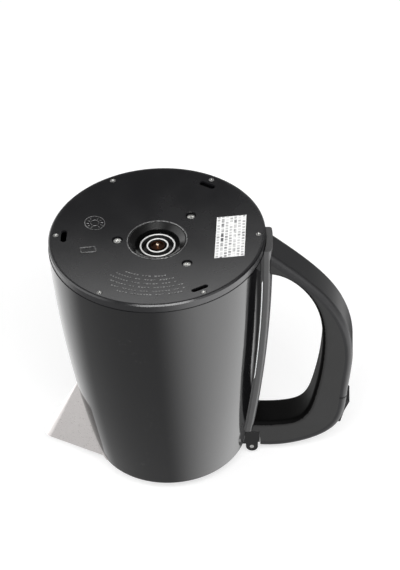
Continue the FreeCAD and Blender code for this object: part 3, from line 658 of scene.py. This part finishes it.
# %% Plain frame beside the dial
frame_radius, frame_angle = 0.0485, math.radians(164.8)
frame_width, frame_length, frame_wall, frame_height = 0.0062, 0.0110, 0.0007, 0.0004
start_piece()
bpy.ops.mesh.primitive_plane_add(size=1.0)
mould_frame = bpy.context.object
mould_frame.scale = (frame_width, frame_length, 1.0)
bpy.ops.object.transform_apply(scale=True)
edit_all()
bpy.ops.mesh.inset(thickness=frame_wall)
bpy.ops.mesh.delete(type="FACE")
bpy.ops.mesh.select_all(action="SELECT")
bpy.ops.mesh.extrude_region_move(TRANSFORM_OT_translate={"value": (0, 0, frame_height)})
bpy.ops.mesh.select_all(action="SELECT")
bpy.ops.mesh.normals_make_consistent(inside=False)
bpy.ops.object.mode_set(mode="OBJECT")
mould_frame.matrix_world = on_dish(frame_radius, frame_angle)
settle(mould_frame, "mould_frame", raised_painted_glints)

# %% [markdown]
# ## Cordless contact
# A fine bead runs round the mouth of the contact's funnel and shows as a bright line. The bottom of the
# inner ring is a small copper cup round the pin. Both are turned shapes, so both start from a round
# primitive: a torus that is flattened, and a circle that is extruded step by step.

# %% Bead round the funnel
bead_radius, bead_thickness, bead_flat = 0.0206, 0.00042, 0.8
bead_middle = (0, 0, dish_depth)
start_piece()
bpy.ops.mesh.primitive_torus_add(
    major_radius=bead_radius, minor_radius=bead_thickness, major_segments=128, minor_segments=12,
    location=bead_middle)
bead = bpy.context.object
edit_all()
bpy.ops.transform.resize(value=(1.0, 1.0, bead_flat), center_override=bead_middle)
bpy.ops.object.mode_set(mode="OBJECT")
settle(bead, "funnel_bead", raised_painted_glints)

# %% Copper cup round the pin
cup_radius, cup_top, cup_floor = 0.0049, 0.0098, 0.0110
cup_depth = cup_floor - cup_top
cup_steps = (
    (-cup_depth, 1.0, cup_top), (0, 0.92, cup_top), (0.85 * cup_depth, 0.9, cup_floor), (0, 0.3, cup_floor))
start_piece()
bpy.ops.mesh.primitive_circle_add(
    vertices=64, radius=cup_radius, fill_type="NOTHING", location=(0, 0, cup_floor))
cup = bpy.context.object
edit_all()
for rise, shrink, middle in cup_steps:
    bpy.ops.mesh.extrude_region_move(TRANSFORM_OT_translate={"value": (0, 0, rise)})
    bpy.ops.transform.resize(value=(shrink, shrink, 1.0), center_override=(0, 0, middle))
bpy.ops.mesh.select_all(action="SELECT")
bpy.ops.mesh.normals_make_consistent(inside=False)
bpy.ops.object.mode_set(mode="OBJECT")
settle(cup, "copper_cup", copper_cup)

# %% [markdown]
# ## Studio
# The photograph shows the kettle upside down on white. Turning the CAD over isn't allowed, so the camera
# goes under it and is itself turned over. A table is needed on both sides then: one under the base for
# upright views and one at the lid for the photograph's view. Each shows its front only, and only to the
# camera, so neither shades the kettle from the far side.

# %% Camera, from the photograph's fitted view
photo_height = 570
focal_pixels = 2400
camera_rise = 0.685245
camera_distance = 1.65248
pan, tilt, roll = -0.016366, -0.022423, 0.0750666
handle_turn = 0.1085
turn_over = Matrix.Rotation(math.pi, 3, "X") @ Matrix.Rotation(handle_turn, 3, "Z")

eye = Vector((0, -camera_distance * math.cos(camera_rise), camera_distance * math.sin(camera_rise)))
ahead = -eye.normalized()
right = Vector((1, 0, 0))
up = right.cross(ahead)
turn = Matrix.Rotation(pan, 3, up)
ahead, right = turn @ ahead, turn @ right
turn = Matrix.Rotation(tilt, 3, right)
ahead, up = turn @ ahead, turn @ up
turn = Matrix.Rotation(roll, 3, ahead)
right, up = turn @ right, turn @ up

camera_data = bpy.data.cameras.new("photo_camera")
camera_data.lens = camera_data.sensor_width * focal_pixels / photo_height
camera = bpy.data.objects.new("photo_camera", camera_data)
bpy.context.collection.objects.link(camera)
axes = Matrix((turn_over @ right, turn_over @ up, -(turn_over @ ahead))).transposed()
camera.matrix_world = Matrix.Translation(turn_over @ eye) @ axes.to_4x4()
bpy.context.scene.camera = camera
print("Camera at", tuple(round(v, 3) for v in camera.location), "lens", round(camera_data.lens, 1), "mm")

# %% Two tables
table_radius, table_border = 2.4, 0.9


def table(name, height, faces_up):
    """A wide pale table that shows only from the side that it faces."""
    start_piece()
    bpy.ops.mesh.primitive_circle_add(
        vertices=96, radius=table_radius, fill_type="NGON", location=(0, 0, height))
    top = bpy.context.object
    top.name = name
    edit_all()
    bpy.ops.mesh.inset(thickness=table_border)
    if not faces_up:
        bpy.ops.mesh.select_all(action="SELECT")
        bpy.ops.mesh.flip_normals()
    bpy.ops.object.mode_set(mode="OBJECT")
    bpy.ops.object.transform_apply(location=True)
    for way in ("visible_diffuse", "visible_glossy", "visible_transmission", "visible_shadow"):
        setattr(top, way, False)
    top.data.materials.append(table_white)
    print(name, "at", round(height, 4))


table_finish = Finish("table_white", Roughness=0.7, Specular_IOR_Level=0.2, Emission_Strength=0.62)
table_finish.shader.inputs["Emission Color"].default_value = (1.0, 1.0, 1.0, 1.0)
shade = table_finish.effect(smudge_group, Scale=3.0)
table_finish.colours(shade["Mask"], (0.50, 0.50, 0.50), (0.52, 0.52, 0.52))
tree = table_finish.tree
see_through = tree.nodes.new("ShaderNodeBsdfTransparent")
one_sided = tree.nodes.new("ShaderNodeMixShader")
tree.links.new(tree.nodes.new("ShaderNodeNewGeometry").outputs["Backfacing"], one_sided.inputs[0])
tree.links.new(table_finish.shader.outputs[0], one_sided.inputs[1])
tree.links.new(see_through.outputs[0], one_sided.inputs[2])
tree.links.new(one_sided.outputs[0], tree.nodes["Material Output"].inputs["Surface"])
table_white = table_finish.material

table("table_below", cad_box[0][2], True)
table("table_at_lid", cad_box[1][2], False)

# %% [markdown]
# ## Soft lights
# One light beside the camera gives the label and the screws their white, and another from below keeps upright
# views from going flat. Sun lamps would leave hard shadows, so both are wide area lights. They are placed in
# the photograph's own directions and turned over with the camera.

# %% Two area lights


def soft_light(name, place, aim, width, height, brightness, in_gloss=True):
    """A rectangular soft light of that brightness, placed by the photograph: x right, y away, z up."""
    data = bpy.data.lights.new(name, "AREA")
    data.shape = "RECTANGLE"
    data.size, data.size_y = width, height
    data.energy = brightness * math.pi * width * height
    light = bpy.data.objects.new(name, data)
    bpy.context.collection.objects.link(light)
    where, target = turn_over @ Vector(place), turn_over @ Vector(aim)
    facing = (target - where).to_track_quat("-Z", "Y").to_matrix().to_4x4()
    light.matrix_world = Matrix.Translation(where) @ facing
    light.visible_camera = False
    light.visible_glossy = in_gloss
    print(name, "at", tuple(round(v, 2) for v in where))


soft_light("beside_camera", (0.05, -1.15, 1.35), (0, 0, 0), 1.3, 0.4, 14.0)
soft_light("upright_key", (0.5, -0.9, -1.2), (0, 0, -0.1), 0.9, 0.9, 2.2, in_gloss=False)

# %% [markdown]
# ## Reflections
# A polished black wall shows hardly any colour of its own, only the room. In the photograph the room is
# bright to the right of the jug, dim in front, white behind it to the left and black behind it to the right.
# Soft boxes would leave hard edges in the gloss, so the room itself carries the gradients: each is a smooth
# step of the direction that a reflection looks in. Two panels above the photograph's horizon are for upright
# views. The camera sees plain white instead.

# %% A room with gradients
world = bpy.data.worlds.new("white_room")
bpy.context.scene.world = world
world.use_nodes = True
room = world.node_tree
looking = room.nodes.new("ShaderNodeTexCoord").outputs["Generated"]


def step_towards(way, start, end):
    """0 to 1 as the looking direction turns towards a way of the photograph, smooth at both ends."""
    along = room.nodes.new("ShaderNodeVectorMath")
    along.operation = "DOT_PRODUCT"
    room.links.new(looking, along.inputs[0])
    along.inputs[1].default_value = turn_over @ Vector(way).normalized()
    step = room.nodes.new("ShaderNodeMapRange")
    step.interpolation_type = "SMOOTHSTEP"
    room.links.new(along.outputs["Value"], step.inputs["Value"])
    step.inputs["From Min"].default_value = start
    step.inputs["From Max"].default_value = end
    return step.outputs["Result"]


def scaled(step, amount, rest):
    """rest where a step is 0 and rest + amount where it is 1."""
    return math_node(room, "ADD", math_node(room, "MULTIPLY", step, amount), rest)


print("Room:", world.name)

# %% Gradients below the photograph's horizon, which the jug reflects
to_the_right = step_towards((0.966, -0.26, 0), 0.02, 0.74)
well_below = step_towards((0, 0, -1), 0.25, 0.55)
right_glow = scaled(math_node(room, "MULTIPLY", to_the_right, well_below), 2.6, 0.5)
dark_corner = math_node(room, "MULTIPLY", step_towards((0.42, 0.91, 0), 0.61, 0.67),
                        step_towards((0, 0, -1), 0.45, 0.56))
right_room = math_node(room, "MULTIPLY", right_glow, scaled(dark_corner, -0.96, 1.0))
behind_glow = step_towards((-0.62, 0.78, 0), 0.52, 0.80)
low_room = math_node(room, "ADD", right_room, behind_glow)
print("Room nodes for the jug:", len(room.nodes))

# %% Gradients above it, which the base and the upright views reflect
straight_behind = step_towards((-0.45, 0.89, 0), 0.42, 0.75)
near_table = step_towards((0, 0, -1), -0.70, -0.36)
left_panel = scaled(step_towards((-0.95, -0.15, 0.25), 0.78, 0.94), 2.4, 0.12)
front_panel = scaled(step_towards((0.72, -0.65, 0.25), 0.78, 0.94), 2.0, 0.0)
panels = math_node(room, "ADD", left_panel, front_panel)
behind = math_node(room, "MULTIPLY", straight_behind, near_table)
high_room = math_node(room, "ADD", math_node(room, "MULTIPLY", behind, 1.6), panels)
print("Room nodes with the upper half:", len(room.nodes))

# %% Both halves, and white for the camera
rising = step_towards((0, 0, 1), -0.25, 0.15)
falling = math_node(room, "SUBTRACT", 1.0, rising)
glow = math_node(room, "ADD", math_node(room, "MULTIPLY", low_room, falling),
                 math_node(room, "MULTIPLY", high_room, rising))

seen_in_gloss = room.nodes["Background"]
seen_in_gloss.inputs["Color"].default_value = (1.0, 1.0, 1.0, 1.0)
room.links.new(glow, seen_in_gloss.inputs["Strength"])
seen_by_camera = room.nodes.new("ShaderNodeBackground")
seen_by_camera.inputs["Color"].default_value = (1.0, 1.0, 1.0, 1.0)
choose = room.nodes.new("ShaderNodeMixShader")
room.links.new(room.nodes.new("ShaderNodeLightPath").outputs["Is Camera Ray"], choose.inputs[0])
room.links.new(seen_in_gloss.outputs[0], choose.inputs[1])
room.links.new(seen_by_camera.outputs[0], choose.inputs[2])
room.links.new(choose.outputs[0], room.nodes["World Output"].inputs["Surface"])
bpy.context.scene.view_settings.view_transform = "Standard"
print("Room nodes:", len(room.nodes))
